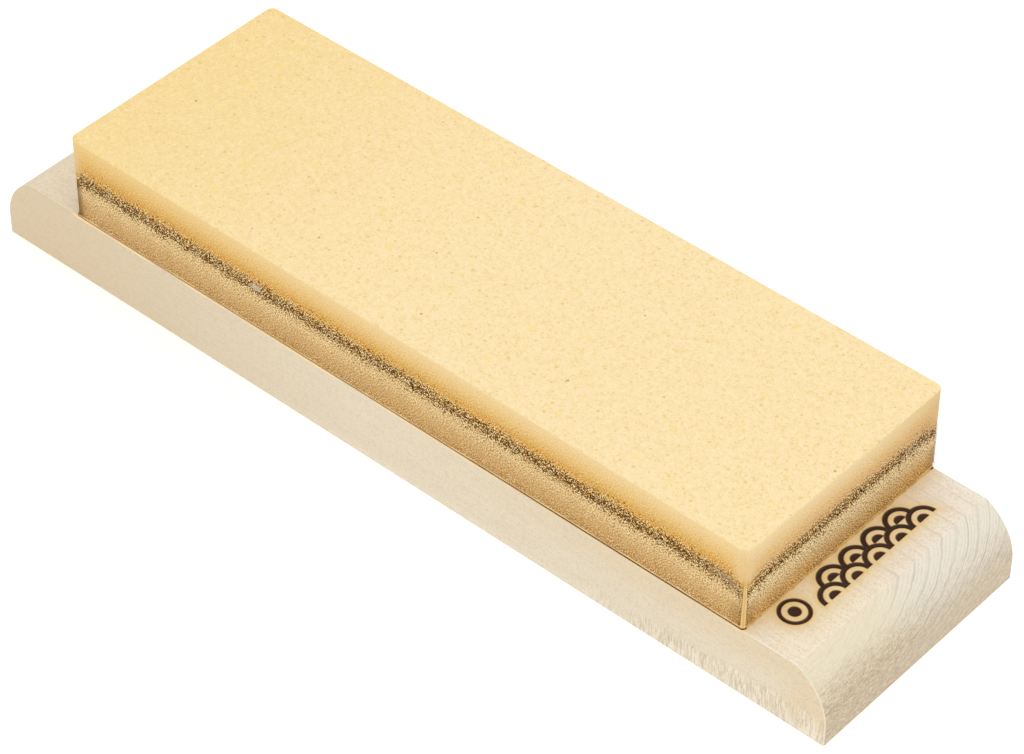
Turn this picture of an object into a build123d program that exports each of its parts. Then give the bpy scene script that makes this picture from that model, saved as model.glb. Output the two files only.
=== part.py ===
from build123d import *
import math
import os

# A full-size water sharpening stone, cast in layers and glued to a wooden base board.
# Millimetres. The origin is the centre of the board's underside. +X runs along the
# board to the end that carries the burned ornament, +Y across it and +Z up.

# ---- Board ----
BASE_LENGTH = 258.6
BASE_WIDTH = 69.0
BASE_HEIGHT = 19.8
END_UPRIGHT = 5.85          # plain upright band at the foot of each end
END_RADIUS = 15.4           # round above it, which breaks out of the top at a crease
BASE_EDGE_BREAK = 0.4       # sanded chamfer along the long sides

# ---- Stone ----
STONE_LENGTH = 210.0        # over the side coat, at its fullest
STONE_WIDTH = 70.4
STONE_OFFSET_X = 0.7        # the stone sits a little off the board's centre
STONE_OFFSET_Y = 0.6
ABRASIVE_THICKNESS = 10.0   # fine layer that does the work
SEAM_THICKNESS = 2.4        # coarse dark layer between the two casts
BACKING_THICKNESS = 11.6    # carrier layer under it
ADHESIVE_THICKNESS = 0.2
ADHESIVE_MARGIN = 0.3       # the glue film stops this far inside the stone's foot

# ---- Clear coat on the stone's four sides ----
COAT_THICKNESS = 0.35       # at its fullest, level with the seam
COAT_TOP_INSET = 0.1        # how much the coat draws in, per side, by the top
COAT_FOOT_INSET = 0.2       # and by the foot
COAT_CORNER_RADIUS = 1.5
CORE_CORNER_RADIUS = 1.9    # the layers' own corners, deeper inside the coat's
COAT_EDGE_BREAK = 0.15      # worn edge round the top of the coat

# ---- Burned ornament: a ringed dot and two rows of waves ----
MARK_DEPTH = 0.3
MARK_STROKE = 1.15
MARK_GAP_FROM_STONE = 0.5   # from the stone's end to the highest crest
MARK_CENTRE_Y = -1.1
WAVE_RADIUS = 4.2           # outside of each wave's crest
WAVE_HEART_RADIUS = 1.6     # solid half disc inside each crest
WAVE_PITCH = 8.0            # a little under the width, so that neighbours join
WAVE_ROW_DROP = 3.6         # the second row stands this much nearer the board's end
WAVE_COUNT = 5              # waves in the front row; the back row has one fewer
RING_RADIUS = 3.95
RING_STROKE = 0.9
RING_DOT_RADIUS = 1.5
RING_GAP = 1.8              # between the ring and the first wave

# ---- Worked out from the above ----
CORE_LENGTH = STONE_LENGTH - 2 * COAT_THICKNESS
CORE_WIDTH = STONE_WIDTH - 2 * COAT_THICKNESS
STONE_FOOT = BASE_HEIGHT + ADHESIVE_THICKNESS
SEAM_FOOT = STONE_FOOT + BACKING_THICKNESS
ABRASIVE_FOOT = SEAM_FOOT + SEAM_THICKNESS
STONE_TOP = ABRASIVE_FOOT + ABRASIVE_THICKNESS
STONE_CENTRE = Pos(STONE_OFFSET_X, STONE_OFFSET_Y, 0)


def board_outline():
    """The board seen from its long side: flat, with a large round on each end."""
    end = BASE_LENGTH / 2
    centre = end - END_RADIUS
    rise = BASE_HEIGHT - END_UPRIGHT
    sweep = math.degrees(math.asin(rise / END_RADIUS))
    right_round = CenterArc((centre, END_UPRIGHT), END_RADIUS, 0, sweep)
    left_round = CenterArc((-centre, END_UPRIGHT), END_RADIUS, 180 - sweep, sweep)
    top = Line(right_round @ 1, left_round @ 0)
    foot = Polyline((-end, END_UPRIGHT), (-end, 0), (end, 0), (end, END_UPRIGHT))
    return make_face(right_round + top + left_round + foot)


def wave_row(crest_x, count, middle_y):
    """(bands, cover): one row of half rings with hearts, and what they hide of a row behind."""
    seaward = Rectangle(4 * WAVE_RADIUS, 4 * WAVE_RADIUS, align=(Align.MAX, Align.CENTER))
    outer = Circle(WAVE_RADIUS) - Circle(WAVE_RADIUS - MARK_STROKE)
    heart = Circle(WAVE_HEART_RADIUS)
    bands = Sketch()
    cover = Sketch()
    for i in range(count):
        y = middle_y + (i - (count - 1) / 2) * WAVE_PITCH
        place = Pos(crest_x + WAVE_RADIUS, y)
        bands += place * (outer & seaward)
        bands += place * (heart & seaward)
        cover += place * (Circle(WAVE_RADIUS - MARK_STROKE / 2) & seaward)
    return bands, cover


def ornament():
    """The burned ornament's strokes, flat, crests towards the stone."""
    crest = STONE_OFFSET_X + STONE_LENGTH / 2 + MARK_GAP_FROM_STONE
    waves_width = WAVE_PITCH * (WAVE_COUNT - 1) + 2 * WAVE_RADIUS
    total_width = 2 * RING_RADIUS + RING_GAP + waves_width
    first_y = MARK_CENTRE_Y - total_width / 2
    waves_y = first_y + 2 * RING_RADIUS + RING_GAP + waves_width / 2
    back, _ = wave_row(crest, WAVE_COUNT - 1, waves_y)
    front, front_cover = wave_row(crest + WAVE_ROW_DROP, WAVE_COUNT, waves_y)
    ring_place = Pos(crest + RING_RADIUS, first_y + RING_RADIUS)
    ring = Circle(RING_RADIUS) - Circle(RING_RADIUS - RING_STROKE)
    return (back - front_cover) + front + ring_place * (ring + Circle(RING_DOT_RADIUS))


def wooden_base():
    """Board with rounded ends, sanded long edges and the shallow burned ornament."""
    profile = Plane.XZ * board_outline()
    board = extrude(profile, amount=BASE_WIDTH / 2, both=True)
    sides = board.faces().filter_by(Axis.Y)
    board = chamfer(sides.edges(), BASE_EDGE_BREAK)
    strokes = Pos(0, 0, BASE_HEIGHT) * ornament()
    return board - extrude(strokes, amount=-MARK_DEPTH)


def adhesive_bed():
    """Thin film of glue that the stone stands on, inside both the stone and the board."""
    length = CORE_LENGTH - 2 * ADHESIVE_MARGIN
    width = BASE_WIDTH - 2 * (BASE_EDGE_BREAK + ADHESIVE_MARGIN)
    film = RectangleRounded(length, width, CORE_CORNER_RADIUS)
    return extrude(Pos(STONE_OFFSET_X, 0, BASE_HEIGHT) * film, amount=ADHESIVE_THICKNESS)


def cast_layer(foot, thickness):
    """One layer of the stone: a slab with rounded upright corners."""
    slab = RectangleRounded(CORE_LENGTH, CORE_WIDTH, CORE_CORNER_RADIUS)
    return extrude(STONE_CENTRE * Pos(0, 0, foot) * slab, amount=thickness)


def coat_section(z, inset):
    """The coat's outside at one height."""
    length = STONE_LENGTH - 2 * inset
    width = STONE_WIDTH - 2 * inset
    return STONE_CENTRE * Pos(0, 0, z) * RectangleRounded(length, width, COAT_CORNER_RADIUS)


def side_coat():
    """Clear coat round the four sides, slightly fuller at the seam than above and below."""
    belly = SEAM_FOOT + SEAM_THICKNESS / 2
    sections = [
        coat_section(STONE_FOOT, COAT_FOOT_INSET),
        coat_section(belly, 0),
        coat_section(STONE_TOP - COAT_EDGE_BREAK, COAT_TOP_INSET),
        coat_section(STONE_TOP, COAT_TOP_INSET + COAT_EDGE_BREAK),
    ]
    outside = loft(sections, ruled=True)
    return outside - cast_layer(STONE_FOOT, STONE_TOP - STONE_FOOT)


PARTS = {
    "wooden_base": wooden_base(),
    "adhesive_bed": adhesive_bed(),
    "backing_layer": cast_layer(STONE_FOOT, BACKING_THICKNESS),
    "seam_layer": cast_layer(SEAM_FOOT, SEAM_THICKNESS),
    "abrasive_layer": cast_layer(ABRASIVE_FOOT, ABRASIVE_THICKNESS),
    "side_coat": side_coat(),
}

os.makedirs("parts", exist_ok=True)
for name, shape in PARTS.items():
    export_step(shape, f"parts/{name}.step")
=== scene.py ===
import math

import bmesh
import bpy
import numpy as np
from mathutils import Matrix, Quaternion, Vector, noise


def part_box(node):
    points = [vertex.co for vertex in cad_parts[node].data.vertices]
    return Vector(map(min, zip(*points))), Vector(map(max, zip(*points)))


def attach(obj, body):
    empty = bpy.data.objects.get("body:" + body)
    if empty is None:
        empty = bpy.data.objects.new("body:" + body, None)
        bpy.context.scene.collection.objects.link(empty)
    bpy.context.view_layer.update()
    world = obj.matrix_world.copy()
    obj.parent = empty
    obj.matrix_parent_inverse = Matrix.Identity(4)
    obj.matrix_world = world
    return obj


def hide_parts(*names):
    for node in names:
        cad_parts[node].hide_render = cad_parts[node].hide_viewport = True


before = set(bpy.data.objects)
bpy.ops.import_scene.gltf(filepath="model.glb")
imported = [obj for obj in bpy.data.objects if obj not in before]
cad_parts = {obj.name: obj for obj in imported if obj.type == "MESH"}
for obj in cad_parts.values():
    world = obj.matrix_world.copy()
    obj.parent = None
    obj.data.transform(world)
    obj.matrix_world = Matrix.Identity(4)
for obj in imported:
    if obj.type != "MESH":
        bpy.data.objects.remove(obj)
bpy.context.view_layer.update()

# A layered water sharpening stone glued to a pale wooden board. Everything is in the CAD frame:
# +X runs along the board to the end with the burned ornament, +Z is up. Shapes are worked out in
# millimetres from the boxes of the CAD nodes and turned into metres when a mesh is made.

MM = 0.001


# ==================== sizes, in millimetres

def node_box(node):
    """Lowest and highest corner of a CAD node, in millimetres."""
    low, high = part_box(node)
    return np.array(low) / MM, np.array(high) / MM


BASE_LOW, BASE_HIGH = node_box("wooden_base")
CORE_LOW, CORE_HIGH = node_box("abrasive_layer")
SEAM_LOW, SEAM_HIGH = node_box("seam_layer")
COAT_LOW, COAT_HIGH = node_box("side_coat")

BASE_LENGTH, BASE_WIDTH, BASE_HEIGHT = BASE_HIGH - BASE_LOW
END_UPRIGHT = 5.85          # upright band at the foot of each end of the board
END_RADIUS = 15.4           # the round above it
BASE_EDGE_RADIUS = 0.4      # sanded edges

STONE_X, STONE_Y, _ = (COAT_LOW + COAT_HIGH) / 2
STONE_TOP = COAT_HIGH[2]
STONE_FOOT = COAT_LOW[2]
STONE_HEIGHT = STONE_TOP - STONE_FOOT
CORE_LENGTH, CORE_WIDTH, _ = CORE_HIGH - CORE_LOW
CORE_CORNER = 1.9
COAT_LENGTH, COAT_WIDTH, _ = COAT_HIGH - COAT_LOW
COAT_CORNER = 1.5
COAT_THICKNESS = (COAT_LENGTH - CORE_LENGTH) / 2
SEAM_TOP = STONE_TOP - SEAM_HIGH[2]     # depths are counted down from the top face
SEAM_FOOT = STONE_TOP - SEAM_LOW[2]
SEAM_MIDDLE = (SEAM_TOP + SEAM_FOOT) / 2

# Burned ornament, as in the CAD model: a ringed dot and two rows of waves
MARK_DEPTH = 0.3
MARK_STROKE = 1.15
MARK_CREST_X = STONE_X + COAT_LENGTH / 2 + 0.5
MARK_CENTRE_Y = -1.1
WAVE_RADIUS = 4.2
WAVE_HEART_RADIUS = 1.6
WAVE_PITCH = 8.0
WAVE_ROW_DROP = 3.6
WAVE_COUNT = 5
RING_RADIUS = 3.95
RING_STROKE = 0.9
RING_DOT_RADIUS = 1.5
RING_GAP = 1.8
PANEL_LOW_X = MARK_CREST_X - 1.9        # the part of the flat top that is meshed finely
PANEL_HIGH_X = MARK_CREST_X + 2 * RING_RADIUS + 4.4
PANEL_HALF_WIDTH = 29.0
PANEL_CELL = 0.17
SCORCH_REACH = 1.3      # how far the heat browned the wood round a stroke


# ==================== meshes

def placed(name, data):
    """A new object in the scene."""
    thing = bpy.data.objects.new(name, data)
    bpy.context.scene.collection.objects.link(thing)
    return thing


def make_piece(name, points, faces, material):
    """A smooth-shaded mesh object in metres that rides on the one body."""
    mesh = bpy.data.meshes.new(name)
    mesh.from_pydata((np.asarray(points, float) * MM).tolist(), [], faces)
    mesh.validate()
    mesh.polygons.foreach_set("use_smooth", [True] * len(mesh.polygons))
    mesh.materials.append(material)
    piece = placed(name, mesh)
    shading = piece.modifiers.new("even_shading", "WEIGHTED_NORMAL")
    shading.keep_sharp = True
    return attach(piece, "root")


def store(piece, name, values):
    """One number per vertex, for a material to read."""
    attribute = piece.data.attributes.new(name, "FLOAT", "POINT")
    attribute.data.foreach_set("value", np.asarray(values, np.float32))


def smoothstep(low, high, value):
    t = np.clip((value - low) / (high - low), 0, 1)
    return t * t * (3 - 2 * t)


def rounded_rectangle(length, width, radius, corner_steps=8, side_step=1.5):
    """(points, outward): anticlockwise round the stone's centre, with the way out at each point."""
    half_x = length / 2 - radius
    half_y = width / 2 - radius
    corners = [(half_x, half_y), (-half_x, half_y), (-half_x, -half_y), (half_x, -half_y)]
    points = []
    outward = []
    for quarter, corner in enumerate(corners):
        for step in range(corner_steps + 1):
            angle = math.pi / 2 * (quarter + step / corner_steps)
            out = np.array([math.cos(angle), math.sin(angle)])
            points.append(np.array(corner) + radius * out)
            outward.append(out)
        start = points[-1]
        end = np.array(corners[(quarter + 1) % 4]) + radius * out
        count = round(np.linalg.norm(end - start) / side_step)
        for step in range(1, count):
            points.append(start + (end - start) * step / count)
            outward.append(out)
    return np.array(points) + [STONE_X, STONE_Y], np.array(outward)


def ring_faces(ring_count, ring_size, is_loop=False):
    """Quads between rings of points, lowest ring first, seen from outside."""
    faces = []
    for ring in range(ring_count if is_loop else ring_count - 1):
        low = ring * ring_size
        high = ((ring + 1) % ring_count) * ring_size
        for i in range(ring_size):
            j = (i + 1) % ring_size
            faces.append((low + i, low + j, high + j, high + i))
    return faces


def cap_faces(ring_count, ring_size):
    """The two flat faces that close a stack of rings."""
    foot = list(range(ring_size))[::-1]
    last = (ring_count - 1) * ring_size
    return [foot, list(range(last, last + ring_size))]


def seam_wander(points):
    """How far the seam strays from its level round the stone's walls, in mm, counted up."""
    x = points[:, 0]
    y = points[:, 1]
    stray = 0.12 * np.sin(x / 17.0 + 0.6) + 0.08 * np.sin(x / 6.1 + y / 23.0 + 2.1)
    stray += 0.12 * np.sin(y / 7.3 + 1.0) + 0.06 * np.sin(x / 2.7 + y / 3.1)
    from_end = CORE_LENGTH / 2 - np.abs(x - STONE_X)
    from_side = CORE_WIDTH / 2 - np.abs(y - STONE_Y)
    corner_dip = 1.2 * np.exp(-np.maximum(from_end, from_side) / 3.0)
    return stray - corner_dip


def cast_layer(name, node, wall_depths, material, rim=0.0):
    """One layer of the stone, whose walls follow the straying seam.

    wall_depths are the levels of its rings of points, foot first. Each vertex keeps its level
    as an attribute, so that the material's bands stray with the shape. rim rounds the top edge.
    """
    outline, outward = rounded_rectangle(CORE_LENGTH, CORE_WIDTH, CORE_CORNER)
    wander = seam_wander(outline)
    inner = CORE_CORNER / 2
    rings = [(inner, wall_depths[0])]
    rings += [(0.0, depth) for depth in wall_depths]
    if rim:
        rings += [(rim * 0.3, wall_depths[-1] - rim * 0.7), (rim, wall_depths[-1] - rim)]
    rings += [(inner, rings[-1][1])]
    points = []
    levels = []
    for inset, depth in rings:
        near_seam = math.exp(-((depth - SEAM_MIDDLE) / 4.5) ** 2) if inset == 0 else 0
        z = STONE_TOP - depth + near_seam * wander
        points.append(np.column_stack([outline - inset * outward, z]))
        levels.append(np.full(len(outline), depth))
    size = len(outline)
    faces = ring_faces(len(rings), size) + cap_faces(len(rings), size)
    piece = make_piece(name, np.concatenate(points), faces, material)
    store(piece, "depth", np.concatenate(levels))
    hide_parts(node)
    return piece


def side_coat(material):
    """Clear coat: a closed skin with a slight belly, a bead at its foot and a worn top edge."""
    outline, outward = rounded_rectangle(COAT_LENGTH, COAT_WIDTH, COAT_CORNER)
    count = len(outline)
    buried = COAT_THICKNESS + 0.06      # its inner wall lies just inside the layers
    # (height above the foot, how far inside the fullest outline, how uneven)
    section = [
        (0.02, 0.30, 0.02), (0.10, 0.22, 0.04), (0.35, 0.13, 0.06), (0.75, 0.12, 0.06),
        (1.20, 0.17, 0.03), (2.50, 0.16, 0.02), (7.00, 0.08, 0.03), (12.8, 0.02, 0.02),
        (18.0, 0.05, 0.03), (22.5, 0.10, 0.01), (23.80, 0.10, 0.00), (23.89, 0.13, 0.00),
        (23.94, 0.19, 0.00), (23.96, 0.28, 0.00), (23.96, buried, 0.00), (0.02, buried, 0.00),
    ]
    points = []
    for height, inset, unevenness in section:
        rough = np.array([
            noise.noise(Vector((x * 0.12, y * 0.12, height * 0.3))) for x, y in outline])
        offset = inset - unevenness * np.clip(rough, -1, 1)
        points.append(np.column_stack([
            outline - offset[:, None] * outward, np.full(count, STONE_FOOT + height)]))
    piece = make_piece(
        "resin_side_coat", np.concatenate(points), ring_faces(len(section), count, True), material)
    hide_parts("side_coat")
    return piece


def adhesive_bead(material):
    """Glue film with the uneven bead that was squeezed out round the stone's foot."""
    outline, outward = rounded_rectangle(COAT_LENGTH - 0.4, COAT_WIDTH - 0.4, COAT_CORNER)
    count = len(outline)
    spread = np.array([noise.noise(Vector((x * 0.25, y * 0.25, 3.7))) for x, y in outline])
    spread = 0.12 + 0.16 * np.clip(spread, -0.7, 1)
    # (height above the board, share of the bead's spread, how far inside)
    section = [
        (-0.06, 1.0, 3.0), (-0.06, 1.0, 0.0), (0.06, 1.1, 0.0), (0.16, 0.8, 0.0),
        (0.24, 0.1, 0.0), (0.27, 0.0, 0.3), (0.27, 0.0, 3.0),
    ]
    reach = BASE_WIDTH / 2 - 0.22
    points = []
    for height, share, inset in section:
        ring = outline + (share * spread - inset)[:, None] * outward
        ring[:, 1] = np.clip(ring[:, 1], -reach + inset, reach - inset)
        points.append(np.column_stack([ring, np.full(count, BASE_HEIGHT + height)]))
    faces = ring_faces(len(section), count) + cap_faces(len(section), count)
    piece = make_piece("glue_bead", np.concatenate(points), faces, material)
    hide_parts("adhesive_bed")
    return piece


def board_section():
    """(core, outward, how many on the right): the board's long section, inside by its edge radius."""
    e = BASE_EDGE_RADIUS
    end = BASE_LENGTH / 2 - e
    centre = BASE_LENGTH / 2 - END_RADIUS
    radius = END_RADIUS - e
    top_angle = math.asin((BASE_HEIGHT - e - END_UPRIGHT) / radius)
    right = []
    for angle in np.linspace(-math.pi / 2, 0, 6):
        right.append((end, e, angle))
    for angle in np.linspace(0, top_angle, 28):
        right.append((centre + radius * math.cos(angle), END_UPRIGHT + radius * math.sin(angle), angle))
    crease_x, crease_z, _ = right[-1]
    for angle in np.linspace(top_angle, math.pi / 2, 5)[1:]:
        right.append((crease_x, crease_z, angle))
    left = [(-x, z, math.pi - angle) for x, z, angle in reversed(right)]
    samples = np.array(right + left)
    core = samples[:, :2]
    outward = np.column_stack([np.cos(samples[:, 2]), np.sin(samples[:, 2])])
    return core, outward, len(right)


def ring_distance(distance, radius, stroke):
    """Signed distance to a ring, from the distance to its centre."""
    return np.abs(distance - (radius - stroke / 2)) - stroke / 2


def ornament_distance(x, y):
    """Signed distance from places on the board's top to the burned strokes, negative inside."""
    waves_width = WAVE_PITCH * (WAVE_COUNT - 1) + 2 * WAVE_RADIUS
    first_y = MARK_CENTRE_Y - (2 * RING_RADIUS + RING_GAP + waves_width) / 2
    waves_y = first_y + 2 * RING_RADIUS + RING_GAP + waves_width / 2

    def row(crest_x, count):
        strokes = np.full(x.shape, 1e3)
        cover = np.full(x.shape, 1e3)
        for i in range(count):
            centre_x = crest_x + WAVE_RADIUS
            centre_y = waves_y + (i - (count - 1) / 2) * WAVE_PITCH
            away = np.hypot(x - centre_x, y - centre_y)
            bands = np.minimum(
                ring_distance(away, WAVE_RADIUS, MARK_STROKE), away - WAVE_HEART_RADIUS)
            strokes = np.minimum(strokes, np.maximum(bands, x - centre_x))
            disc = away - (WAVE_RADIUS - MARK_STROKE / 2)
            cover = np.minimum(cover, np.maximum(disc, x - centre_x))
        return strokes, cover

    back, _ = row(MARK_CREST_X, WAVE_COUNT - 1)
    front, front_cover = row(MARK_CREST_X + WAVE_ROW_DROP, WAVE_COUNT)
    away = np.hypot(x - MARK_CREST_X - RING_RADIUS, y - first_y - RING_RADIUS)
    ring = np.minimum(ring_distance(away, RING_RADIUS, RING_STROKE), away - RING_DOT_RADIUS)
    return np.minimum(np.minimum(np.maximum(back, -front_cover), front), ring)


def board_shell():
    """(points, faces, corners) of the board without its flat top, which the corners bound."""
    core, outward, half = board_section()
    e = BASE_EDGE_RADIUS
    inner_y = BASE_WIDTH / 2 - e
    edge_angles = np.linspace(0, math.pi / 2, 5)
    stations = [(-inner_y, -angle) for angle in edge_angles[::-1]]
    stations += [(inner_y, angle) for angle in edge_angles]
    size = len(core)
    points = []
    for y, angle in stations:
        ring = core + e * math.cos(angle) * outward
        across = np.full(size, y + e * math.sin(angle))
        points.append(np.column_stack([ring[:, 0], across, ring[:, 1]]))
    faces = []
    near = len(edge_angles) - 1
    for station in range(len(stations) - 1):
        for i in range(size):
            if station == near and i == half - 1:
                continue        # the flat top
            j = (i + 1) % size
            low = station * size
            high = low + size
            faces.append((low + i, high + i, high + j, low + j))
    last = (len(stations) - 1) * size
    faces.append(list(range(size)))
    faces.append([last + i for i in reversed(range(size))])
    near_left = near * size + half
    near_right = near_left - 1
    return np.concatenate(points), faces, (near_left, near_right, near_right + size, near_left + size)


def ornament_panel(first, corners):
    """(points, faces) of the flat top: a fine panel dented along the strokes, and what joins it on."""
    along = np.arange(PANEL_LOW_X, PANEL_HIGH_X, PANEL_CELL)
    across = np.arange(MARK_CENTRE_Y - PANEL_HALF_WIDTH, MARK_CENTRE_Y + PANEL_HALF_WIDTH, PANEL_CELL)
    grid_x, grid_y = np.meshgrid(along, across)
    distance = ornament_distance(grid_x, grid_y)
    rough = np.array([
        noise.noise(Vector((x * 1.9, y * 1.9, 0.5)))
        for x, y in zip(grid_x.ravel(), grid_y.ravel())]).reshape(grid_x.shape)
    dent = MARK_DEPTH * (1 - smoothstep(-0.22, 0.06, distance)) * (1 + 0.25 * rough)
    points = np.column_stack([grid_x.ravel(), grid_y.ravel(), BASE_HEIGHT - dent.ravel()])
    rows, columns = grid_x.shape
    index = first + np.arange(rows * columns).reshape(rows, columns)
    faces = []
    for row in range(rows - 1):
        for column in range(columns - 1):
            faces.append((
                index[row, column], index[row, column + 1],
                index[row + 1, column + 1], index[row + 1, column]))
    near_left, near_right, far_right, far_left = corners
    faces.append([near_left, near_right, *index[0, ::-1]])
    faces.append([near_right, far_right, *index[::-1, -1]])
    faces.append([far_right, far_left, *index[-1, :]])
    faces.append([far_left, near_left, *index[:, 0]])
    return points, faces


def wooden_board(material):
    """Board with rounded ends, sanded edges and the ornament burned into one end."""
    shell, shell_faces, corners = board_shell()
    panel, panel_faces = ornament_panel(len(shell), corners)
    piece = make_piece("wooden_board", np.concatenate([shell, panel]), shell_faces + panel_faces, material)
    merge_by_distance(piece)
    place = np.array([v.co for v in piece.data.vertices]) / MM
    distance = ornament_distance(place[:, 0], place[:, 1])
    on_top = smoothstep(BASE_HEIGHT - 0.6, BASE_HEIGHT - 0.4, place[:, 2])
    store(piece, "char", on_top * (1 - smoothstep(-0.05, 0.13, distance)))
    store(piece, "scorch", on_top * np.exp(-np.maximum(distance, 0) / SCORCH_REACH))
    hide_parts("wooden_base")
    return piece


def merge_by_distance(piece):
    """Joins the points that fall together where the board's edges close."""
    mesh = bmesh.new()
    mesh.from_mesh(piece.data)
    bmesh.ops.remove_doubles(mesh, verts=mesh.verts, dist=0.0005 * MM)
    bmesh.ops.dissolve_degenerate(mesh, edges=mesh.edges, dist=0.0005 * MM)
    mesh.to_mesh(piece.data)
    mesh.free()


# ==================== materials

def linear(red, green, blue, light=1.0):
    """The colour that looks like this 8-bit one under so much light."""
    def channel(value):
        value = value / 255
        return value / 12.92 if value <= 0.04045 else ((value + 0.055) / 1.055) ** 2.4
    return tuple(min(channel(value) / light, 1.0) for value in (red, green, blue)) + (1.0,)


class Material:
    """Writes one material's node tree, so that each material reads top to bottom."""

    def __init__(self, name):
        self.material = bpy.data.materials.new(name)
        self.material.use_nodes = True
        self.tree = self.material.node_tree
        self.tree.nodes.clear()
        source = self.node("ShaderNodeTexCoord").outputs
        self.place = self.scaled(source["Object"], 1 / MM)      # in the CAD frame, in millimetres
        self.x, self.y, self.z = self.split(self.place)
        facing_x, facing_y, _ = self.split(source["Normal"])
        self.facing_end = self.math("ABSOLUTE", facing_x)       # 1 on an end, 0 on top and sides
        self.facing_side = self.math("ABSOLUTE", facing_y)      # 1 on a long side

    def node(self, kind, **settings):
        node = self.tree.nodes.new(kind)
        for key, value in settings.items():
            setattr(node, key, value)
        return node

    def set(self, socket, value):
        if isinstance(value, bpy.types.NodeSocket):
            self.tree.links.new(value, socket)
        else:
            socket.default_value = value

    def wired(self, kind, *values, **settings):
        """The outputs of a new node, its first inputs set to these values or joined to them."""
        node = self.node(kind, **settings)
        for socket, value in zip(node.inputs, values):
            self.set(socket, value)
        return node.outputs

    def split(self, vector):
        return self.wired("ShaderNodeSeparateXYZ", vector)

    def channels(self, colour):
        return self.wired("ShaderNodeSeparateColor", colour)

    def join(self, x, y, z):
        return self.wired("ShaderNodeCombineXYZ", x, y, z)[0]

    def scaled(self, vector, factor):
        node = self.node("ShaderNodeVectorMath", operation="SCALE")
        self.set(node.inputs[0], vector)
        node.inputs["Scale"].default_value = factor
        return node.outputs[0]

    def plus(self, first, second):
        """The sum of two vectors."""
        return self.wired("ShaderNodeVectorMath", first, second, operation="ADD")[0]

    def math(self, operation, *values, clamp=False):
        return self.wired("ShaderNodeMath", *values, operation=operation, use_clamp=clamp)[0]

    def step(self, value, low, high):
        """0 below low, 1 above high and smooth between."""
        return self.wired("ShaderNodeMapRange", value, low, high, interpolation_type="SMOOTHSTEP")[0]

    def range(self, value, low, high, to_low, to_high):
        """Carries low..high over to to_low..to_high, and stops at both ends."""
        return self.wired("ShaderNodeMapRange", value, low, high, to_low, to_high)[0]

    def stretched(self, x, y, z):
        """The place with its axes scaled, for grain and streaks."""
        node = self.node("ShaderNodeMapping")
        self.set(node.inputs["Vector"], self.place)
        node.inputs["Scale"].default_value = (x, y, z)
        return node.outputs[0]

    def noise(self, size, vector=None, detail=2.0, roughness=0.5):
        """Smooth noise from 0 to 1 with lumps of this size."""
        node = self.node("ShaderNodeTexNoise")
        self.set(node.inputs["Vector"], vector or self.place)
        node.inputs["Scale"].default_value = 1 / size
        node.inputs["Detail"].default_value = detail
        node.inputs["Roughness"].default_value = roughness
        return node.outputs[0]

    def shake(self, size):
        """A smoothly changing colour with lumps of this size, to shift places by."""
        node = self.node("ShaderNodeTexNoise")
        self.set(node.inputs["Vector"], self.place)
        node.inputs["Scale"].default_value = 1 / size
        return node.outputs["Color"]

    def random(self, column, row):
        """A random number and a random colour for each pair of whole numbers."""
        cell = self.join(column, row, 0.0)
        return self.wired("ShaderNodeTexWhiteNoise", cell, noise_dimensions="2D")

    def grains(self, pitch):
        """A random number from 0 to 1, the same all over one grain of this size."""
        node = self.node("ShaderNodeTexVoronoi")
        self.set(node.inputs["Vector"], self.place)
        node.inputs["Scale"].default_value = 1 / pitch
        return self.channels(node.outputs["Color"])[0]

    def crisp_grains(self, pitch):
        """Three random numbers per grain of a wall, two of them even over any few neighbours."""
        shake_along, shake_up, _ = self.channels(self.shake(2.0))
        along = self.math("DIVIDE", self.math("ADD", self.x, self.y), pitch)
        up = self.math("DIVIDE", self.z, pitch)
        column = self.math("FLOOR", self.math("ADD", along, self.times(shake_along, 4.0)))
        row = self.math("FLOOR", self.math("ADD", up, self.times(shake_up, 4.0)))
        own = self.random(column, row)["Color"]
        level = own
        for step_x, step_z in ((1.0, 0.0), (-1.0, 0.0), (0.0, 1.0), (0.0, -1.0)):
            neighbour = self.random(self.math("ADD", column, step_x), self.math("ADD", row, step_z))
            level = self.plus(level, self.scaled(neighbour["Color"], -0.25))
        first, second, _ = self.split(level)
        first = self.range(first, -0.8, 0.8, 0.0, 1.0)
        second = self.range(second, -0.8, 0.8, 0.0, 1.0)
        return first, second, self.channels(own)[2]

    def spots(self, pitch, radius, share, vector=None):
        """1 in spots scattered, seen from above, over this share of cells of this pitch."""
        node = self.node("ShaderNodeTexVoronoi", voronoi_dimensions="2D")
        self.set(node.inputs["Vector"], vector or self.place)
        node.inputs["Scale"].default_value = 1 / pitch
        lot, size, _ = self.channels(node.outputs["Color"])
        reach = self.range(size, 0.0, 1.0, 0.4 * radius / pitch, radius / pitch)
        inside = self.minus(reach, node.outputs["Distance"])
        spot = self.step(inside, -0.2 * radius / pitch, 0.3 * radius / pitch)
        return self.times(spot, self.math("LESS_THAN", lot, share))

    def ruffled(self, size, reach):
        """The place, shaken by this many mm in lumps of this size, for ragged outlines."""
        centred = self.plus(self.shake(size), (-0.5, -0.5, -0.5))
        return self.plus(self.place, self.scaled(centred, 2 * reach))

    def mix(self, share, first, second, blend="MIX"):
        node = self.node("ShaderNodeMix", data_type="RGBA", blend_type=blend)
        self.set(node.inputs[0], share)
        self.set(node.inputs[6], first)
        self.set(node.inputs[7], second)
        return node.outputs[2]

    def ramp(self, value, *stops):
        """A colour for each value from 0 to 1, from (position, colour) stops."""
        node = self.node("ShaderNodeValToRGB")
        self.set(node.inputs[0], value)
        elements = node.color_ramp.elements
        while len(elements) < len(stops):
            elements.new(0.5)
        for element, (position, colour) in zip(elements, stops):
            element.position = position
            element.color = colour
        return node.outputs[0]

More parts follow.
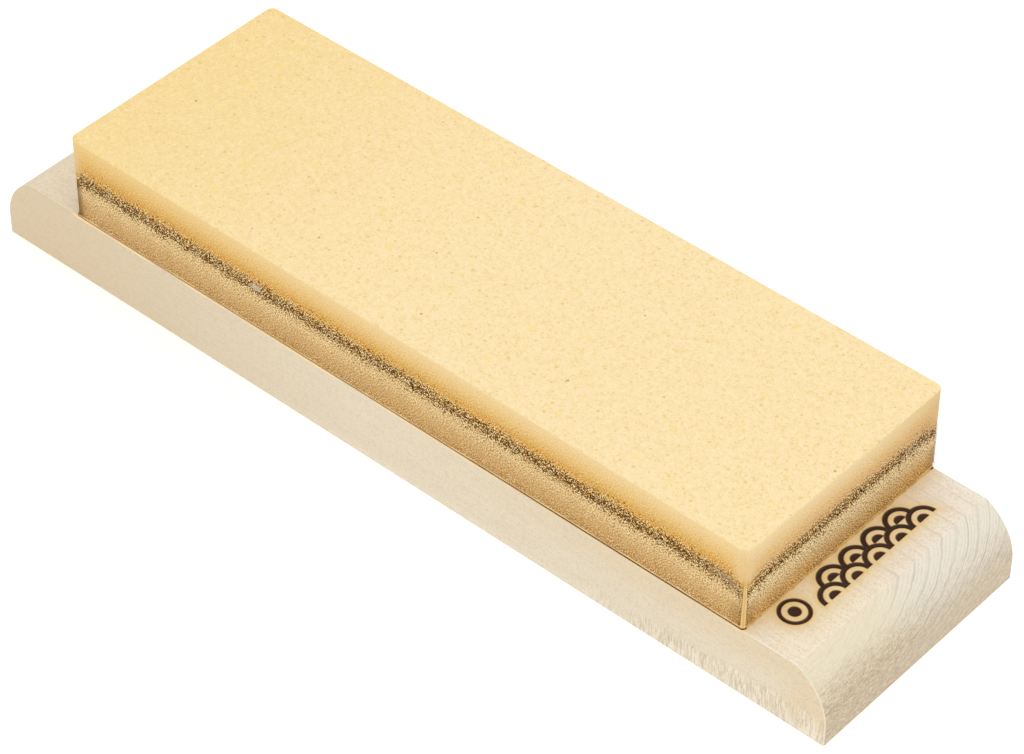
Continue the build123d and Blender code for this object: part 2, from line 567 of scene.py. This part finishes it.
    def profile(self, value, *stops):
        """A number for each value, from (value, number) stops, with straight lines between."""
        low = stops[0][0]
        high = stops[-1][0]
        along = self.range(value, low, high, 0.0, 1.0)
        greys = [((at - low) / (high - low), (number, number, number, 1.0)) for at, number in stops]
        return self.ramp(along, *greys)

    def minus(self, first, second):
        return self.math("SUBTRACT", first, second)

    def times(self, first, *others):
        """The product of all of these."""
        for other in others:
            first = self.math("MULTIPLY", first, other)
        return first

    def attribute(self, name):
        return self.node("ShaderNodeAttribute", attribute_name=name).outputs["Fac"]

    def bump(self, height, depth, strength=1.0):
        node = self.node("ShaderNodeBump")
        node.inputs["Strength"].default_value = strength
        node.inputs["Distance"].default_value = depth * MM
        self.set(node.inputs["Height"], height)
        return node.outputs[0]

    def surface(self, colour, roughness, normal=None, **fixed):
        """Finishes with one Principled shader."""
        shader = self.node("ShaderNodeBsdfPrincipled")
        self.set(shader.inputs["Base Color"], colour)
        self.set(shader.inputs["Roughness"], roughness)
        if normal is not None:
            self.set(shader.inputs["Normal"], normal)
        for key, value in fixed.items():
            shader.inputs[key.replace("_", " ")].default_value = value
        return self.finish(shader.outputs[0])

    def blend(self, share, first, second):
        """A mix of two shaders."""
        return self.wired("ShaderNodeMixShader", share, first, second)[0]

    def finish(self, shader):
        self.wired("ShaderNodeOutputMaterial", shader)
        return self.material


NEAR_GRAIN = 0.31       # size of the grains on the two walls that the camera sees
FAR_GRAIN = 0.5         # and on the other two
CHIP_X = -42.0          # a pale chip in the seam of the near wall
CHIP_LEVEL = 11.5       # below the top face
CHIP_LENGTH = 1.6       # from its middle
CHIP_HEIGHT = 1.1
TOP_LIGHT = 1.02        # how brightly the studio lights the top face
SIDE_LIGHT = 0.95       # and the walls, under their clear coat


def stone_bands(m, level):
    """Colour of the stone at a level below the top face, in mm, from cream to amber to sand."""
    def seen(depth, *colour):
        return depth / STONE_HEIGHT, linear(*colour, light=SIDE_LIGHT)
    return m.ramp(
        m.math("DIVIDE", level, STONE_HEIGHT),
        (0.0, linear(252, 228, 178, light=TOP_LIGHT)),
        seen(0.5, 229, 203, 150),
        seen(2.5, 227, 196, 140),
        seen(4.5, 223, 187, 121),
        seen(6.5, 215, 172, 97),
        seen(8.0, 206, 151, 58),
        seen(9.4, 205, 152, 62),
        seen(10.4, 194, 146, 68),
        seen(11.5, 184, 138, 66),
        seen(12.4, 191, 149, 82),
        seen(13.2, 205, 167, 109),
        seen(14.2, 208, 172, 118),
        seen(15.5, 217, 185, 131),
        seen(18.0, 203, 166, 110),
        seen(20.0, 194, 154, 96),
        seen(21.5, 187, 143, 84),
        seen(22.6, 172, 128, 68),
        seen(24.0, 172, 128, 70),
    )


def corner_distance(m, length, width):
    """How far a place on the stone's wall is from the nearest upright corner, in mm."""
    along = m.minus(length / 2, m.math("ABSOLUTE", m.minus(m.x, STONE_X)))
    across = m.minus(width / 2, m.math("ABSOLUTE", m.minus(m.y, STONE_Y)))
    return m.math("MAXIMUM", along, across)


def wall_grain_pitch(m):
    """Grain size: finer on the near side and the marked end than on the other two walls."""
    far_side = m.times(m.math("GREATER_THAN", m.facing_side, 0.7), m.math("GREATER_THAN", m.y, 0.0))
    plain_end = m.times(m.math("GREATER_THAN", m.facing_end, 0.7), m.math("LESS_THAN", m.x, 0.0))
    far_wall = m.math("MAXIMUM", far_side, plain_end)
    return m.range(far_wall, 0.0, 1.0, NEAR_GRAIN, FAR_GRAIN)


def straying_level(m, level, corner):
    """The level below the top face, made to stray near the seam and to dip at the corners."""
    waver = m.times(m.minus(m.noise(7.0), 0.5), 0.7)
    waver = m.minus(waver, 0.05)
    waver = m.minus(waver, m.profile(corner, (0.5, 2.4), (2.0, 0.9), (4.0, 0.25), (7.0, 0.0)))
    near_seam = m.profile(level, (4.0, 0.0), (9.0, 1.0), (14.0, 1.0), (20.0, 0.0))
    return m.math("ADD", level, m.times(waver, near_seam))


def stone_ground(m, level, strayed, on_end):
    """The bands, with soft upright shades in the backing and the tints of the ends."""
    colour = stone_bands(m, strayed)
    shades = m.noise(5.0, m.stretched(1.0, 1.0, 0.12), detail=3.0)
    shades = m.times(m.range(shades, 0.3, 0.7, 0.0, 0.24), m.step(level, SEAM_FOOT, 18.0))
    colour = m.mix(shades, colour, linear(176, 130, 66))
    yellower = m.times(m.step(m.x, 10.0, -125.0), m.step(level, 9.5, 7.0))
    colour = m.mix(yellower, colour, (0.97, 0.91, 0.72, 1.0), blend="MULTIPLY")
    hazy = m.profile(
        level, (0.3, 0.0), (0.8, 0.1), (5.5, 0.08), (8.0, 0.14), (9.5, 0.12), (11.0, 0.05), (12.0, 0.03),
        (14.5, 0.2), (17.0, 0.14), (20.0, 0.06), (22.0, 0.0))
    colour = m.mix(m.times(hazy, on_end), colour, (1.0, 1.0, 1.0, 1.0))
    sandy = m.profile(
        strayed, (11.5, 0.0), (13.0, 0.38), (15.0, 0.3), (17.0, 0.22), (22.0, 0.05), (24.0, 0.0))
    colour = m.mix(m.times(sandy, on_end), colour, linear(255, 226, 168))
    amber_foot = m.profile(strayed, (17.0, 0.0), (20.0, 0.3), (22.5, 0.6), (24.0, 0.55))
    return m.mix(m.times(amber_foot, on_end), colour, linear(222, 160, 70))


def speckled(m, colour, strayed, grain, on_end):
    """Makes each grain lighter or darker than its neighbours, most of all in and below the seam."""
    contrast = m.profile(
        strayed, (0.3, 0.0), (0.8, 0.12), (3.0, 0.17), (5.5, 0.3), (7.5, 0.4), (9.0, 0.72), (10.0, 1.1),
        (12.5, 1.15), (13.5, 0.95), (15.0, 0.73), (17.5, 0.63), (19.0, 0.42), (22.0, 0.6), (24.0, 0.7))
    rougher = m.profile(
        strayed, (1.0, 0.75), (4.0, 0.85), (9.0, 1.0), (10.5, 1.25), (12.0, 1.25), (13.5, 1.1),
        (19.0, 1.55), (24.0, 1.55))
    contrast = m.times(contrast, m.mix(on_end, (1.0, 1.0, 1.0, 1.0), rougher))
    light = m.math("MULTIPLY", m.times(m.step(grain, 0.53, 0.72), contrast), 0.78, clamp=True)
    colour = m.mix(light, colour, linear(255, 228, 174, light=SIDE_LIGHT))
    dark = m.math("MULTIPLY", m.times(m.step(grain, 0.45, 0.28), contrast), 0.88, clamp=True)
    return m.mix(dark, colour, linear(120, 80, 20))


def seam_grains(m, level, strayed, corner, clusters, shade):
    """Where the dark, coarse grains of the seam are: the nearer its middle, the more of them."""
    share = m.profile(
        strayed, (6.8, 0.0), (7.4, 0.05), (8.5, 0.15), (9.2, 0.22), (9.8, 0.30), (10.4, 0.40), (11.0, 0.46),
        (11.6, 0.49), (12.2, 0.46), (12.8, 0.41), (13.2, 0.33), (13.7, 0.25), (14.5, 0.16), (16.0, 0.0))
    wedge = m.times(
        m.step(corner, 3.2, 0.9), m.step(level, SEAM_FOOT - 1.0, SEAM_FOOT + 1.0),
        m.range(clusters, 0.3, 0.7, 0.25, 0.38), m.step(m.x, 0.0, 50.0))
    share = m.math("MAXIMUM", share, wedge)
    scattered = m.math("ADD", shade, m.times(m.minus(clusters, 0.5), 0.05))
    return m.times(m.step(m.minus(share, scattered), -0.02, 0.02), m.step(level, 6.0, 7.0))


def tinted_corners(m, colour, level, corner):
    """Near an upright corner the abrasive is paler and the foot of the backing browner."""
    pale = m.profile(level, (0.3, 0.0), (2.0, 0.4), (6.0, 0.65), (9.0, 0.5), (11.0, 0.0))
    colour = m.mix(m.times(pale, m.step(corner, 5.0, 1.0)), colour, linear(227, 199, 152))
    brown = m.profile(level, (15.5, 0.0), (18.0, 0.4), (20.0, 0.5), (23.0, 0.5), (24.0, 0.4))
    return m.mix(m.times(brown, m.step(corner, 5.5, 2.0)), colour, linear(150, 110, 50))


def near_wall_marks(m, colour, level, strayed, corner):
    """On the near wall a grey smear before the marked end, a darker brown band low by the plain end's
    corner and a chip.
    """
    near_wall = m.times(m.step(m.facing_side, 0.5, 0.9), m.step(m.y, 0.0, -10.0))
    drips = m.range(m.noise(1.0, m.stretched(1.0, 1.0, 0.35)), 0.4, 0.6, 0.25, 0.9)
    smear = m.profile(strayed, (8.5, 0.0), (10.5, 0.6), (12.5, 0.6), (14.0, 0.0))
    smear = m.times(smear, m.step(m.x, 88.0, 98.0), drips, near_wall)
    colour = m.mix(smear, colour, linear(176, 148, 112))
    # Darker brown low by the plain end's near corner.
    dark_brown = m.profile(level, (12.9, 0.0), (13.5, 0.9), (14.5, 0.6), (20.0, 0.55), (24.0, 0.7))
    dark_brown = m.times(dark_brown, m.step(corner, 3.4, 1.6), m.step(m.x, -90.0, -100.0), near_wall)
    colour = m.mix(dark_brown, colour, linear(92, 62, 26))
    chip_along = m.math("DIVIDE", m.minus(m.x, CHIP_X), CHIP_LENGTH)
    chip_down = m.math("DIVIDE", m.minus(level, CHIP_LEVEL), CHIP_HEIGHT)
    chip = m.math("ADD", m.math("POWER", chip_along, 2.0), m.math("POWER", chip_down, 2.0))
    return m.mix(m.times(m.step(chip, 1.4, 0.5), near_wall, 0.8), colour, linear(200, 180, 156))


def flecked_top(m, colour, on_top, clusters):
    """(colour, relief) of the top face: a fine mottle with smears, flecks, pores and pale blotches."""
    ragged = m.ruffled(0.5, 0.28)
    fine = m.grains(0.42)
    mottle = m.math("ADD", fine, m.times(m.minus(clusters, 0.5), 1.2))
    colour = m.mix(m.times(m.step(mottle, 0.6, 1.15), on_top, 0.8), colour, linear(240, 210, 146))
    colour = m.mix(m.times(m.step(mottle, 0.4, 0.0), on_top, 0.4), colour, linear(255, 238, 196))
    smears = m.step(m.noise(1.1, ragged), 0.64, 0.72)
    colour = m.mix(m.times(smears, on_top, 0.5), colour, linear(240, 210, 126))
    flecks = m.times(m.spots(1.7, 0.32, 0.40, ragged), 0.34)
    flecks = m.math("MAXIMUM", flecks, m.times(m.spots(4.3, 0.48, 0.5, ragged), 0.5))
    colour = m.mix(m.times(flecks, on_top), colour, linear(220, 190, 104))
    pores = m.spots(19.0, 0.42, 0.5, ragged)
    colour = m.mix(m.times(pores, on_top, 0.55), colour, linear(160, 124, 60))
    blotches = m.spots(11.0, 1.5, 0.35, ragged)
    colour = m.mix(m.times(blotches, on_top, 0.35), colour, linear(250, 222, 132))
    return colour, m.minus(fine, m.times(pores, 2.0))


def stone_material(name, has_top=False):
    """Cast stone: smooth bands above the seam, dark coarse grains in it, sandy grains below."""
    m = Material(name)
    level = m.attribute("depth")
    corner = corner_distance(m, CORE_LENGTH, CORE_WIDTH)
    strayed = straying_level(m, level, corner)
    on_end = m.step(m.facing_end, 0.6, 0.9)
    clusters = m.noise(1.5)
    grain, shade, size = m.crisp_grains(wall_grain_pitch(m))

    colour = stone_ground(m, level, strayed, on_end)
    colour = speckled(m, colour, strayed, grain, on_end)
    coal = m.mix(size, linear(40, 14, 0), linear(104, 58, 2))
    colour = m.mix(seam_grains(m, level, strayed, corner, clusters, shade), colour, coal)
    colour = tinted_corners(m, colour, level, corner)
    far_edge = m.times(m.step(m.y, 5.0, 38.0), on_end)
    colour = m.mix(far_edge, colour, (0.88, 0.82, 0.70, 1.0), blend="MULTIPLY")
    colour = near_wall_marks(m, colour, level, strayed, corner)
    relief = size
    if has_top:
        colour, relief = flecked_top(m, colour, m.step(level, 0.6, 0.1), clusters)
    roughness = m.range(grain, 0.0, 1.0, 0.62, 0.78)
    return m.surface(colour, roughness, m.bump(relief, 0.012, 0.5), Specular_IOR_Level=0.04)


def resin_body(m):
    """(cover, tone) of the coat where it is too thick or too dirty to see through, with painted light and
    shade at its corners and foot.
    """
    above_foot = m.minus(m.z, STONE_FOOT)
    seam_height = STONE_HEIGHT - SEAM_MIDDLE
    marked_end = m.step(m.x, -50.0, 50.0)

    # A column of clear resin in each upright corner, stronger at the marked end, with darker rims; its
    # bright yellow is partly the thick amber resin and partly painted light refracted through it
    half_column = m.range(above_foot, 0.0, seam_height, 1.15, 0.85)
    half_column = m.times(half_column, m.range(marked_end, 0.0, 1.0, 0.5, 1.0))
    inside = m.minus(half_column, corner_distance(m, COAT_LENGTH, COAT_WIDTH))
    strength = m.profile(
        above_foot, (0.0, 0.9), (seam_height - 1.0, 0.8), (seam_height + 2.5, 0.15), (24.0, 0.0))
    column = m.times(m.step(inside, -0.05, 0.10), strength)
    rim = m.times(m.step(m.math("ABSOLUTE", inside), 0.2, 0.06), strength, 0.6)

    # Along the foot a yellow bead with a painted highlight on it, and on the long sides a dark line under
    # it, partly painted joint shadow and partly grime
    uneven = m.range(m.noise(9.0, m.stretched(1.0, 1.0, 0.1)), 0.35, 0.6, 0.55, 1.0)
    line = m.minus(above_foot, m.range(m.step(m.x, -10.0, 70.0), 0.0, 1.0, 0.0, 0.15))
    bead_and_highlight = m.times(m.step(line, 0.34, 0.45), m.step(line, 0.82, 0.68), uneven)
    # Painted joint shadow with grime: a dark line under the bead on the long sides, strongest towards the
    # marked end.
    shade_and_grime = m.profile(
        m.x, (-105.0, 0.45), (-60.0, 0.68), (-20.0, 0.84), (25.0, 0.9), (58.0, 0.97), (64.0, 1.0),
        (88.0, 1.0), (94.0, 0.7), (103.0, 0.25))
    shaded_and_soiled = m.times(
        m.step(line, 0.42, 0.33), m.step(m.facing_side, 0.5, 0.9), m.range(uneven, 0.55, 1.0, 0.75, 1.0),
        shade_and_grime)

    streaks = m.noise(3.0, m.stretched(1.0, 1.0, 0.12))
    cover = m.math("MAXIMUM", m.math("MAXIMUM", column, rim), m.math("MAXIMUM", bead_and_highlight, shaded_and_soiled))
    cover = m.times(cover, m.range(streaks, 0.3, 0.7, 0.8, 1.0))
    edge = m.math("MAXIMUM", m.step(inside, 0.12, 0.0), m.step(marked_end, 0.6, 0.4))
    # Painted refracted light: a bright band just inside the rim of each corner column.
    middle = m.mix(m.step(inside, 0.3, 0.55), linear(244, 209, 140), linear(220, 184, 114))
    tone = m.mix(edge, middle, linear(150, 106, 48))
    # The bead's yellow, with its painted highlight.
    tone = m.mix(bead_and_highlight, tone, linear(250, 212, 144))
    return cover, m.mix(shaded_and_soiled, tone, linear(54, 22, 0))


def coat_material():
    """Clear amber resin: see-through on the walls, yellow where it is thick at corners and foot, partly
    painted light there.
    """
    m = Material("clear_amber_resin")
    cover, tone = resin_body(m)
    resin = m.node("ShaderNodeBsdfPrincipled")
    m.set(resin.inputs["Base Color"], tone)
    m.set(resin.inputs["Specular IOR Level"], 0.1)
    m.set(resin.inputs["Roughness"], 0.22)
    clear = m.node("ShaderNodeBsdfTransparent")
    m.set(clear.inputs["Color"], (1.0, 0.995, 0.98, 1.0))
    gloss = m.node("ShaderNodeBsdfGlossy")
    m.set(gloss.inputs["Roughness"], 0.2)
    fresnel = m.node("ShaderNodeFresnel")
    m.set(fresnel.inputs["IOR"], 1.12)
    geometry = m.node("ShaderNodeNewGeometry")
    outside = m.minus(1.0, geometry.outputs["Backfacing"])
    skin = m.blend(m.times(fresnel.outputs[0], outside), clear.outputs[0], gloss.outputs[0])
    return m.finish(m.blend(m.times(cover, outside), skin, resin.outputs[0]))


def glue_material():
    """Set amber glue with darker trapped spots, browner on the long sides: partly painted joint shadow."""
    m = Material("set_glue")
    lumps = m.noise(1.6, detail=3.0)
    patches = m.noise(17.0, m.stretched(1.0, 0.3, 1.0))
    on_side = m.step(m.math("ABSOLUTE", m.y), BASE_WIDTH / 2 - 1.5, BASE_WIDTH / 2 - 0.8)
    colour = m.mix(m.step(lumps, 0.42, 0.62), linear(228, 190, 120), linear(200, 154, 86))
    shaded_and_soiled = m.step(m.x, -30.0, 60.0)
    amber = m.mix(lumps, linear(196, 152, 92), linear(160, 116, 62))
    brown = m.mix(lumps, linear(140, 92, 40), linear(84, 50, 18))
    # Painted joint shadow on the long sides, browner from the middle to the marked end, with the dark glue.
    colour = m.mix(on_side, colour, m.mix(shaded_and_soiled, amber, brown))
    dirt = m.times(m.step(m.noise(1.1), 0.46, 0.56), m.step(patches, 0.46, 0.58), on_side, shaded_and_soiled)
    colour = m.mix(dirt, colour, linear(44, 26, 10))
    return m.surface(colour, 0.5, m.bump(lumps, 0.05, 0.5), Specular_IOR_Level=0.1)


PITH_Y = -34.0          # the heart of the tree lay far above the board's near edge
PITH_Z = 112.0
RING_SPACING = 2.25
FLECK_WIDTH = 0.27      # ray flecks on the long sides
FLECK_LENGTH = 2.0


def growth_rings(m):
    """(radius, late wood of each ring, fine lines between) about the tree's far heart."""
    sway = m.noise(70.0, m.stretched(0.5, 1.0, 1.0), detail=1.0)
    uneven = m.noise(6.0, m.stretched(0.08, 1.0, 1.0))
    rise = m.math("POWER", m.minus(m.z, PITH_Z), 2.0)
    across = m.math("POWER", m.minus(m.y, PITH_Y), 2.0)
    radius = m.math("SQRT", m.math("ADD", across, rise))
    radius = m.math("ADD", radius, m.times(m.minus(sway, 0.5), 4.0))
    radius = m.math("ADD", radius, m.times(m.minus(uneven, 0.5), 1.1))
    ring = m.math("FRACT", m.math("DIVIDE", radius, RING_SPACING))
    ring_line = m.times(m.step(ring, 0.78, 0.95), m.step(ring, 1.0, 0.97))
    fine_ring = m.math("FRACT", m.math("DIVIDE", radius, RING_SPACING * 0.29))
    fine_line = m.times(m.step(fine_ring, 0.35, 0.8), m.step(fine_ring, 1.0, 0.85))
    return radius, ring_line, fine_line


def end_grain_and_shade_tone(m, far_half):
    """The ends' tone, from the crease at the top of the round to the upright foot, darker as the round
    turns down: partly end grain, partly painted shade.
    """
    warm = m.ramp(
        m.facing_end,
        (0.40, linear(238, 225, 198)),
        (0.72, linear(232, 221, 192)),
        (0.87, linear(215, 200, 171)),
        (0.97, linear(193, 173, 138)),
        (1.0, linear(194, 176, 147)),
    )
    cool = m.ramp(
        m.facing_end,
        (0.40, linear(238, 229, 212)),
        (0.72, linear(232, 225, 208)),
        (0.87, linear(225, 215, 197)),
        (0.97, linear(208, 195, 173)),
        (1.0, linear(203, 186, 159)),
    )
    return m.mix(far_half, warm, cool)


def ground_tone(m, end_grain, far_half, on_side):
    """Warm near and low, cooler on the far half, duller towards the plain end, and the long sides painted
    darker as shade.
    """
    cloud = m.noise(24.0, m.stretched(0.35, 1.0, 1.0), detail=3.0)
    shaded_side = m.step(m.facing_side, 0.5, 0.9)
    colour = m.mix(m.step(cloud, 0.3, 0.7), linear(250, 240, 219), linear(248, 237, 214))
    colour = m.mix(m.times(far_half, m.step(m.x, 60.0, 110.0), 0.6), colour, linear(244, 236, 225))
    # Painted shade: the long sides darker than the top.
    colour = m.mix(m.times(shaded_side, 0.85), colour, linear(221, 208, 183))
    # End grain tone with painted shade, darker where the round turns down.
    colour = m.mix(end_grain, colour, end_grain_and_shade_tone(m, far_half))
    dulled = m.times(m.step(m.x, 20.0, -125.0), m.range(shaded_side, 0.0, 1.0, 0.38, 0.85))
    colour = m.mix(dulled, colour, linear(213, 192, 158))
    paler_foot = m.times(on_side, m.step(m.z, 4.5, 0.5), m.step(m.x, -60.0, 0.0), 0.4)
    colour = m.mix(paler_foot, colour, linear(238, 226, 208))
    warm_band = m.times(on_side, m.step(m.z, 9.0, 17.0), m.step(m.x, -20.0, 95.0), 0.9)
    warm_tip = m.times(on_side, m.step(m.x, 113.0, 124.0), m.step(m.z, 1.0, 8.0))
    return m.mix(m.math("MAXIMUM", warm_band, warm_tip), colour, linear(223, 204, 171))


def figured(m, colour, rings, fibre, end_grain, far_half):
    """Adds fibres, pores, the streaks of the end grain and the growth rings."""
    radius, ring_line, fine_line = rings
    pores = m.grains(0.42)
    drawn_out = m.join(radius, m.times(m.y, 0.09), m.times(m.x, 0.09))
    streaks = m.noise(0.22, drawn_out)
    patchy = m.range(m.noise(12.0, m.stretched(0.3, 1.0, 1.0)), 0.3, 0.7, 0.35, 1.0)
    colour = m.mix(m.times(m.step(fibre, 0.42, 0.72), 0.2), colour, linear(200, 184, 158))
    along_grain = m.minus(1.0, end_grain)
    colour = m.mix(m.times(m.step(pores, 0.5, 1.0), along_grain, 0.24), colour, linear(182, 164, 138))
    low_end = m.times(end_grain, m.step(m.facing_end, 0.6, 0.97))
    mottled = m.times(m.range(low_end, 0.0, 1.0, 0.12, 1.1), m.range(far_half, 0.0, 1.0, 1.0, 0.7))
    mottled = m.times(end_grain, mottled)
    colour = m.mix(m.times(m.step(streaks, 0.5, 0.72), mottled, 0.6), colour, linear(160, 140, 114))
    colour = m.mix(m.times(m.step(streaks, 0.5, 0.3), mottled, 0.5), colour, linear(238, 226, 204))
    colour = m.mix(m.times(m.step(pores, 0.5, 0.85), mottled, 0.2), colour, linear(166, 146, 120))
    colour = m.mix(m.times(m.step(pores, 0.5, 0.15), mottled, 0.25), colour, linear(238, 226, 206))
    strength = m.math("ADD", m.times(far_half, 0.8), m.times(end_grain, 0.2), clamp=True)
    colour = m.mix(m.times(ring_line, strength, patchy, 0.42), colour, linear(150, 140, 126))
    fine_strength = m.times(end_grain, m.math("ADD", m.times(far_half, 0.7), 0.3), patchy, 0.17)
    return m.mix(m.times(fine_line, fine_strength), colour, linear(140, 128, 112))


def ray_flecked(m, colour, on_side):
    """Adds short upright ray flecks low on the long sides."""
    column = m.math("FLOOR", m.math("DIVIDE", m.x, FLECK_WIDTH))
    start = m.random(column, 1.0)["Value"]
    dash = m.math("FLOOR", m.math("ADD", m.math("DIVIDE", m.z, FLECK_LENGTH), start))
    fleck = m.random(column, m.math("ADD", dash, 2.0))["Value"]
    groups = m.range(m.noise(4.0, m.stretched(1.0, 1.0, 0.3)), 0.35, 0.6, 0.5, 1.0)
    ragged_z = m.math("ADD", m.z, m.times(start, 1.5))
    ragged_z = m.minus(ragged_z, m.range(m.x, 55.0, 120.0, 0.0, 4.0))
    low = m.times(m.step(ragged_z, 5.2, 3.6), groups, on_side, m.step(m.x, 45.0, 85.0))
    colour = m.mix(m.times(low, m.step(fleck, 0.55, 0.80), 0.45), colour, linear(246, 238, 222))
    return m.mix(m.times(low, m.step(fleck, 0.45, 0.20), 0.45), colour, linear(180, 165, 138))


def glue_smeared(m, colour):
    """Glue on the sanded edges, a painted highlight along them, and a painted amber reflection of the stone
    on the wood at its marked end.
    """
    smear = m.times(
        m.step(m.z, BASE_HEIGHT - 0.55, BASE_HEIGHT - 0.35), m.step(m.math("ABSOLUTE", m.y), 34.0, 34.1),
        m.range(m.noise(9.0, m.stretched(1.0, 0.1, 0.1)), 0.35, 0.6, 0.2, 0.9),
        m.range(m.x, -10.0, 40.0, 1.0, 0.7), m.step(m.x, -107.0, -103.0), m.step(m.x, 106.5, 105.0))
    colour = m.mix(smear, colour, linear(255, 226, 172))
    # Painted amber reflection of the stone on the board's top before its marked end.
    stone_reflection = m.times(
        m.step(m.x, MARK_CREST_X + 4.5, MARK_CREST_X - 1.5), m.step(m.x, 0.0, 50.0),
        m.step(m.z, BASE_HEIGHT - 0.5, BASE_HEIGHT - 0.1), 0.5)
    colour = m.mix(stone_reflection, colour, linear(236, 206, 142))
    # Painted highlight along the rounded long edges.
    edge_highlight = m.times(
        m.step(m.facing_side, 0.25, 0.5), m.step(m.facing_side, 0.9, 0.7), m.step(m.x, -60.0, 90.0), 0.35)
    return m.mix(edge_highlight, colour, linear(248, 238, 218))


def burned(m, colour):
    """Heat-tanned halo and charred strokes of the ornament."""
    scorch = m.attribute("scorch")
    tan = m.times(m.math("POWER", scorch, 0.8), m.range(m.noise(5.0), 0.3, 0.7, 0.7, 1.0))
    colour = m.mix(tan, colour, linear(234, 200, 124))
    colour = m.mix(m.times(m.step(scorch, 0.84, 1.0), 0.7), colour, linear(140, 92, 44))
    dark_brown = m.mix(m.noise(0.6, detail=3.0), linear(40, 21, 12), linear(72, 44, 31))
    return m.mix(m.attribute("char"), colour, dark_brown)


def wood_material():
    """Pale, fine-grained timber with growth rings about a far heart, and burned strokes."""
    m = Material("pale_fine_grained_wood")
    rings = growth_rings(m)
    fibre = m.noise(0.5, m.stretched(0.03, 1.0, 1.0), detail=3.0, roughness=0.6)
    end_grain = m.step(m.facing_end, 0.25, 0.5)
    on_side = m.step(m.facing_side, 0.7, 0.95)
    far_half = m.step(m.y, -15.0, 8.0)

    colour = ground_tone(m, end_grain, far_half, on_side)
    colour = figured(m, colour, rings, fibre, end_grain, far_half)
    colour = ray_flecked(m, colour, on_side)
    colour = glue_smeared(m, colour)
    colour = burned(m, colour)
    roughness = m.range(fibre, 0.3, 0.7, 0.55, 0.72)
    relief = m.minus(fibre, m.times(rings[1], 0.4))
    return m.surface(colour, roughness, m.bump(relief, 0.03, 0.5), Specular_IOR_Level=0.3)


# ==================== the object

wood = wood_material()
stone = stone_material("cast_stone")
abrasive = stone_material("cast_abrasive_stone", has_top=True)

board = wooden_board(wood)
backing = cast_layer(
    "sandy_backing", "backing_layer",
    (STONE_HEIGHT, 22.5, 20.0, 17.5, 15.5, 14.0, 13.0, SEAM_FOOT), stone)
seam = cast_layer(
    "dark_seam", "seam_layer",
    (SEAM_FOOT, SEAM_MIDDLE + 0.6, SEAM_MIDDLE, SEAM_MIDDLE - 0.6, SEAM_TOP), stone)
working = cast_layer(
    "abrasive_block", "abrasive_layer", (SEAM_TOP, 9.2, 8.2, 6.5, 4.5, 2.5, 1.0, 0.15), abrasive, rim=0.15)
coat = side_coat(coat_material())
glue = adhesive_bead(glue_material())


# ==================== floor, light and camera

def studio_floor():
    """A plain white floor, lit a little from within like a light table."""
    mesh = bpy.data.meshes.new("studio_floor")
    reach = 4.0         # metres
    corners = [(-reach, -reach, 0), (reach, -reach, 0), (reach, reach, 0), (-reach, reach, 0)]
    mesh.from_pydata(corners, [], [(0, 1, 2, 3)])
    material = bpy.data.materials.new("white_floor")
    material.use_nodes = True
    shader = material.node_tree.nodes["Principled BSDF"]
    shader.inputs["Base Color"].default_value = (0.88, 0.88, 0.88, 1)
    shader.inputs["Roughness"].default_value = 0.9
    shader.inputs["Specular IOR Level"].default_value = 0.0
    shader.inputs["Emission Color"].default_value = (1, 1, 1, 1)
    shader.inputs["Emission Strength"].default_value = 0.33
    mesh.materials.append(material)
    floor = placed("studio_floor", mesh)


def area_light(name, place, aim, size, power):
    """A lamp at a place, turned towards another; both in metres, like its size."""
    light = bpy.data.lights.new(name, "AREA")
    light.shape = "RECTANGLE"
    light.size, light.size_y = size
    light.energy = power
    lamp = placed(name, light)
    lamp.location = place
    lamp.rotation_mode = "QUATERNION"
    lamp.rotation_quaternion = (Vector(aim) - Vector(place)).to_track_quat("-Z", "Y")


def studio_camera():
    """The camera, by the point that it looks at and its bearing, height and distance."""
    target = Vector((14.05, -7.01, 19.84)) * MM
    azimuth = math.radians(41.347)
    elevation = math.radians(42.84)
    roll = math.radians(0.324)
    distance = 887.82
    back = Vector((
        math.sin(azimuth) * math.cos(elevation),
        -math.cos(azimuth) * math.cos(elevation),
        math.sin(elevation)))
    data = bpy.data.cameras.new("camera")
    data.sensor_width = 36.0
    data.lens = 133.89
    data.clip_start = 0.01
    camera = placed("camera", data)
    camera.location = target + back * distance * MM
    camera.rotation_mode = "QUATERNION"
    camera.rotation_quaternion = (-back).to_track_quat("-Z", "Y") @ Quaternion((0, 0, 1), roll)
    bpy.context.scene.camera = camera


def white_room(strength):
    """Even white light from all round."""
    world = bpy.data.worlds.new("white_room")
    world.use_nodes = True
    background = world.node_tree.nodes["Background"]
    background.inputs["Color"].default_value = (1, 1, 1, 1)
    background.inputs["Strength"].default_value = strength
    bpy.context.scene.world = world


studio_floor()
studio_camera()
area_light("top_softbox", (0.2, 0.3, 1.6), (0, 0, 0), (1.8, 1.8), 5.0)
area_light("front_softbox", (0.7, -1.5, 0.95), (0, 0, 0.02), (1.8, 1.0), 3.3)
white_room(0.85)
bpy.context.scene.view_settings.view_transform = "Standard"
